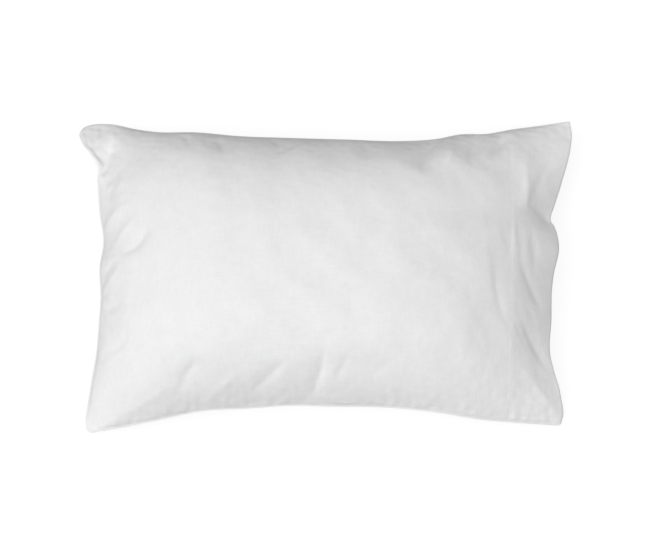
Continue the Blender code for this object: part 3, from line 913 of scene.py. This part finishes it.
def case_mesh(sizes):
    """The case's skin, and the two lines that its hem is stitched along."""
    form = Form(sizes, sizes.cell, HEM_RUNS, SEAM_RUNS)
    top_points, under_points = case_panels(sizes, form)
    lip = form.lip
    thin = SEAM_PROFILE[-1][1]
    layer = thin + (sizes.cloth - thin) * ease(form.side, HEM_SIDE_FADE)
    upper_points = top_points - normals_of(top_points) * layer[..., None]
    lower_points = under_points + normals_of(under_points) * layer[..., None]
    back = int(np.searchsorted(form.inside_u, POCKET_START))
    meeting = (upper_points[back:, [lip, -1 - lip]] + lower_points[back:, [lip, -1 - lip]]) / 2

    # The outer skin, closed at its three seams
    skin = Skin()
    top, under = skin.points(top_points), skin.points(under_points)
    skin.sheet(top)
    skin.sheet(under, flip=True)
    skin.sheet([under[0], top[0]])
    skin.sheet([column(top, 0), column(under, 0)])
    skin.sheet([column(under, -1), column(top, -1)])

    # The inner faces of both layers, which meet beside the side seams
    ends = skin.points(meeting)
    inner = slice(lip + 1, -lip - 1)
    upper = inside_ends(ends, skin.points(upper_points[back:, inner]))
    lower = inside_ends(ends, skin.points(lower_points[back:, inner]))
    skin.sheet(upper, flip=True)
    skin.sheet(lower)

    # The mouth: the hems' folded edges, the ends of the side seams and the end of the pillow
    top_edge = rounded_edge(skin, top[-1][lip:-lip], upper[-1], top[-2][lip:-lip])
    under_edge = rounded_edge(skin, under[-1][lip:-lip], lower[-1], under[-2][lip:-lip])
    skin.sheet([top[-1][lip:-lip], top_edge, upper[-1]])
    skin.sheet([lower[-1], under_edge, under[-1][lip:-lip]])
    skin.sheet([top[-1][: lip + 1], under[-1][: lip + 1]], flip=True)
    skin.sheet([top[-1][-lip - 1 :], under[-1][-lip - 1 :]], flip=True)
    skin.face(top[-1][lip], top_edge[0], ends[-1][0], under_edge[0], under[-1][lip])
    skin.face(under[-1][-lip - 1], under_edge[-1], ends[-1][1], top_edge[-1], top[-1][-lip - 1])
    pillow_end(skin, upper[0], lower[0])
    return skin.mesh, hem_lines(form, (top_points, under_points))


def hem_lines(form, panels):
    """The points along each panel's hem stitching, and the way out of the cloth at each."""
    row = int(np.argmin(np.abs(form.past_hem[:, 0] - HEM_STITCH)))
    beside = form.lip + len(SEAM_RUNS)
    return [
        (panel[row, beside:-beside], up * normals_of(panel)[row, beside:-beside])
        for panel, up in zip(panels, (1, -1))
    ]


def rounded_edge(skin, outer, inner, before):
    """The row of points along a hem's folded edge, half a layer beyond its two faces."""
    row = []
    for a, b, c in zip(outer, inner, before):
        forward = (a.co - c.co).normalized()
        row.append(skin.mesh.verts.new((a.co + b.co) / 2 + forward * (a.co - b.co).length / 2))
    return row


def stitches(lines, sizes):
    """Short threads along lines of points on the cloth, one stitch after another."""
    mesh = bmesh.new()
    turns = np.linspace(0, 2 * np.pi, STITCH_SIDES, endpoint=False)
    for points, normals in lines:
        path = np.concatenate([[0], np.cumsum(np.linalg.norm(np.diff(points, axis=0), axis=1))])
        count = int(path[-1] / sizes.stitch_pitch)
        for start in (np.arange(count) + 0.5) * sizes.stitch_pitch:
            places = start + np.array(STITCH_RINGS)[:, 0] * sizes.stitch_pitch * STITCH_COVERS
            middle = np.column_stack([np.interp(places, path, axis) for axis in points.T])
            up = np.column_stack([np.interp(places, path, axis) for axis in normals.T])
            side = np.cross(middle[-1] - middle[0], up)
            side /= np.linalg.norm(side, axis=1, keepdims=True)
            rings = []
            for at, out, aside, (_, high, thick) in zip(middle, up, side, STITCH_RINGS):
                at = at + out * high * sizes.thread
                reach = thick * sizes.thread / 2
                ways = [aside * np.cos(turn) + out * np.sin(turn) for turn in turns]
                rings.append([mesh.verts.new(at + reach * way) for way in ways])
            for low, high in zip(rings, rings[1:]):
                for a, b, c, d in zip(low, high, high[1:] + high[:1], low[1:] + low[:1]):
                    mesh.faces.new((a, b, c, d))
            mesh.faces.new(rings[0])
            mesh.faces.new(rings[-1][::-1])
    bmesh.ops.recalc_face_normals(mesh, faces=mesh.faces)
    return mesh


def inside_ends(ends, rows):
    """Rows of points with the points where the two layers meet added at both ends."""
    return [[near, *row, far] for (near, far), row in zip(ends, rows)]


def pillow_end(skin, upper, lower):
    """The rounded end of the pillow, which closes the pocket at its back."""
    high = np.array([v.co for v in upper])
    low = np.array([v.co for v in lower])
    tall = np.linalg.norm(high - low, axis=1)
    bulge = PILLOW_BULGE * np.sqrt(tall / tall.max())
    grid = [upper]
    for step in range(1, PILLOW_ROWS):
        share = step / PILLOW_ROWS
        place = high * (1 - share) + low * share
        place[:, 0] += bulge * np.sin(np.pi * share) ** PILLOW_BLUNT
        grid.append([upper[0], *(skin.mesh.verts.new(p) for p in place[1:-1]), upper[-1]])
    grid.append(lower)
    skin.sheet(grid)


# ---- Materials


def node(tree, kind, x, y, **settings):
    """A new node at a place in its tree, with its settings."""
    made = tree.nodes.new(kind)
    made.location = (x, y)
    for name, value in settings.items():
        setattr(made, name, value)
    return made


def weave_height(tree, place, pitch):
    """Height of a plain weave: two sets of threads that cross at the given pitch."""
    waves = []
    for direction, y in (("X", 0), ("Y", -320)):
        wave = node(tree, "ShaderNodeTexWave", -700, y, bands_direction=direction)
        wave.inputs["Scale"].default_value = WAVE_PERIOD / pitch
        tree.links.new(place, wave.inputs["Vector"])
        waves.append(wave.outputs["Fac"])
    crossing = node(tree, "ShaderNodeMath", -480, -100, operation="MULTIPLY")
    for wave, socket in zip(waves, crossing.inputs):
        tree.links.new(wave, socket)
    return crossing.outputs["Value"]


def cloudy(tree, place, scale, y):
    """An uneven field from 0 to 1, with its own scale along each axis."""
    stretch = node(tree, "ShaderNodeMapping", -920, y)
    stretch.inputs["Scale"].default_value = scale
    tree.links.new(place, stretch.inputs["Vector"])
    noise = node(tree, "ShaderNodeTexNoise", -740, y)
    noise.inputs["Scale"].default_value = 1
    noise.inputs["Detail"].default_value = CLOUD_DETAIL
    noise.inputs["Roughness"].default_value = CLOUD_ROUGHNESS
    tree.links.new(stretch.outputs["Vector"], noise.inputs["Vector"])
    return noise.outputs["Fac"]


def mottled(tree, place, colour, amount):
    """The colour, lighter and darker in patches and where single threads are thick or thin."""
    patches = (PATCH_SCALE, PATCH_SCALE, PATCH_SCALE)
    lengthwise = (SLUB_SCALE, THREAD_SCALE, THREAD_SCALE)
    crosswise = (THREAD_SCALE, SLUB_SCALE, SLUB_SCALE)
    scales = (patches, lengthwise, crosswise)
    first, *others = [cloudy(tree, place, scale, 900 - 240 * i) for i, scale in enumerate(scales)]
    for i, field in enumerate(others):
        total = node(tree, "ShaderNodeMath", -500, 780 - 240 * i, operation="ADD")
        tree.links.new(first, total.inputs[0])
        tree.links.new(field, total.inputs[1])
        first = total.outputs["Value"]
    mean = node(tree, "ShaderNodeMath", -380, 420, operation="DIVIDE")
    mean.inputs[1].default_value = len(scales)
    tree.links.new(first, mean.inputs[0])
    mix = node(tree, "ShaderNodeMix", -260, 320, data_type="RGBA")
    tree.links.new(mean.outputs["Value"], mix.inputs["Factor"])
    for socket, change in ((mix.inputs[6], -amount), (mix.inputs[7], amount)):
        socket.default_value = (*(channel * (1 + change) for channel in colour), 1)
    return mix.outputs[2]


def cotton_material(finish):
    """White plain-weave cotton."""
    material = bpy.data.materials.new("cotton")
    material.use_nodes = True
    tree = material.node_tree
    place = node(tree, "ShaderNodeTexCoord", -920, 100).outputs["Object"]
    bump = node(tree, "ShaderNodeBump", -260, -100)
    bump.inputs["Strength"].default_value = finish.weave_depth
    bump.inputs["Distance"].default_value = finish.weave_pitch * WEAVE_RELIEF
    tree.links.new(weave_height(tree, place, finish.weave_pitch), bump.inputs["Height"])

    shader = tree.nodes["Principled BSDF"]
    tree.links.new(mottled(tree, place, finish.cotton, finish.mottle), shader.inputs["Base Color"])
    tree.links.new(bump.outputs["Normal"], shader.inputs["Normal"])
    shader.inputs["Roughness"].default_value = COTTON_ROUGHNESS
    shader.inputs["Sheen Weight"].default_value = COTTON_SHEEN
    return material


def thread_material(finish):
    """Sewing thread, a little glossier than the cloth."""
    material = bpy.data.materials.new("sewing thread")
    material.use_nodes = True
    shader = material.node_tree.nodes["Principled BSDF"]
    shader.inputs["Base Color"].default_value = (*finish.thread, 1)
    shader.inputs["Roughness"].default_value = THREAD_ROUGHNESS
    return material


# ---- Operators and what they make


def add_piece(name, mesh, material):
    """A finished piece of cloth or thread on the case, made from a bmesh."""
    data = bpy.data.meshes.new(name)
    mesh.to_mesh(data)
    mesh.free()
    data.shade_smooth()
    data.materials.append(material)
    piece = bpy.data.objects.new(name, data)
    bpy.context.scene.collection.objects.link(piece)
    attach(piece, "root")
    return piece


class PILLOWCASE_OT_case(bpy.types.Operator):
    """Make the case: both panels, seams, hem with its stitching and the inside of its mouth"""

    bl_idname = "pillowcase.case"
    bl_label = "Case"

    def execute(self, context):
        sizes, finish = context.scene.pillowcase_sizes, context.scene.pillowcase_finish
        mesh, lines = case_mesh(sizes)
        case = add_piece("case", mesh, cotton_material(finish))
        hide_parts("pillowcase")
        add_piece("hem_stitches", stitches(lines, sizes), thread_material(finish))
        return {"FINISHED"}


class PILLOWCASE_OT_stage(bpy.types.Operator):
    """Make the floor, the lights and the camera"""

    bl_idname = "pillowcase.stage"
    bl_label = "Stage"

    def execute(self, context):
        look = context.scene.pillowcase_stage
        make_floor(look)
        make_lights(look)
        make_camera(look)
        context.scene.view_settings.view_transform = "Standard"
        return {"FINISHED"}


def make_floor(look):
    """A wide white floor that shines a little by itself, but not on the case."""
    mesh = bpy.data.meshes.new("floor")
    half = FLOOR_HALF
    corners = [(-half, -half, 0), (half, -half, 0), (half, half, 0), (-half, half, 0)]
    mesh.from_pydata(corners, [], [(0, 1, 2, 3)])
    floor = bpy.data.objects.new("floor", mesh)
    floor.location.z = -FLOOR_GAP
    material = bpy.data.materials.new("floor")
    material.use_nodes = True
    shader = material.node_tree.nodes["Principled BSDF"]
    shader.inputs["Base Color"].default_value = (FLOOR_GREY, FLOOR_GREY, FLOOR_GREY, 1)
    shader.inputs["Roughness"].default_value = 1.0
    shader.inputs["Specular IOR Level"].default_value = 0.0
    shader.inputs["Emission Color"].default_value = (1, 1, 1, 1)
    shader.inputs["Emission Strength"].default_value = look.floor
    mesh.materials.append(material)
    bpy.context.scene.collection.objects.link(floor)
    lit = bpy.data.collections.new("lit by the floor")
    lit.objects.link(floor)
    floor.light_linking.receiver_collection = lit


def make_lights(look):
    """The even light all round and the two soft suns."""
    world = bpy.context.scene.world or bpy.data.worlds.new("surroundings")
    bpy.context.scene.world = world
    world.use_nodes = True
    background = world.node_tree.nodes["Background"]
    background.inputs["Color"].default_value = (1, 1, 1, 1)
    background.inputs["Strength"].default_value = look.fill
    for sun in SUNS:
        light = bpy.data.lights.new(sun.name, "SUN")
        light.energy = getattr(look, sun.name)
        light.angle = math.radians(sun.width)
        lamp = bpy.data.objects.new(sun.name, light)
        turn, height = math.radians(sun.turn), math.radians(sun.height)
        level = math.cos(height)
        towards = Vector((level * math.cos(turn), level * math.sin(turn), math.sin(height)))
        lamp.location = towards * SUN_DISTANCE
        lamp.rotation_euler = (-towards).to_track_quat("-Z", "Y").to_euler()
        bpy.context.scene.collection.objects.link(lamp)


def make_camera(look):
    """The camera, in line with the near side and looking down on the case's face."""
    data = bpy.data.cameras.new("camera")
    data.sensor_width = SENSOR
    data.lens = SENSOR * CAMERA_DISTANCE / (PIXEL * PICTURE_WIDTH)
    camera = bpy.data.objects.new("camera", data)
    back = Vector((0, -math.cos(look.elevation), math.sin(look.elevation)))
    camera.location = AIM + back * CAMERA_DISTANCE
    camera.rotation_euler = (-back).to_track_quat("-Z", "Y").to_euler()
    bpy.context.scene.collection.objects.link(camera)
    bpy.context.scene.camera = camera


class PILLOWCASE_PT_panel(bpy.types.Panel):
    """Lists the pieces and the stage in the sidebar"""

    bl_idname = "PILLOWCASE_PT_panel"
    bl_label = "Pillowcase"
    bl_space_type = "VIEW_3D"
    bl_region_type = "UI"
    bl_category = "Pillowcase"

    def draw(self, context):
        for group in ("pillowcase_sizes", "pillowcase_finish", "pillowcase_stage"):
            settings = getattr(context.scene, group)
            for name in settings.__annotations__:
                self.layout.prop(settings, name)
        for operator in STEPS:
            self.layout.operator(operator.bl_idname)


GROUPS = {
    "pillowcase_sizes": PillowcaseSizes,
    "pillowcase_finish": PillowcaseFinish,
    "pillowcase_stage": PillowcaseStage,
}
STEPS = (PILLOWCASE_OT_case, PILLOWCASE_OT_stage)


def register():
    for cls in (*GROUPS.values(), *STEPS, PILLOWCASE_PT_panel):
        bpy.utils.register_class(cls)
    for name, group in GROUPS.items():
        setattr(bpy.types.Scene, name, bpy.props.PointerProperty(type=group))


def unregister():
    for name in GROUPS:
        delattr(bpy.types.Scene, name)
    for cls in (PILLOWCASE_PT_panel, *reversed(STEPS), *GROUPS.values()):
        bpy.utils.unregister_class(cls)


def main():
    register()
    for operator in STEPS:
        family, name = operator.bl_idname.split(".")
        getattr(getattr(bpy.ops, family), name)()


if __name__ == "__main__":
    main()
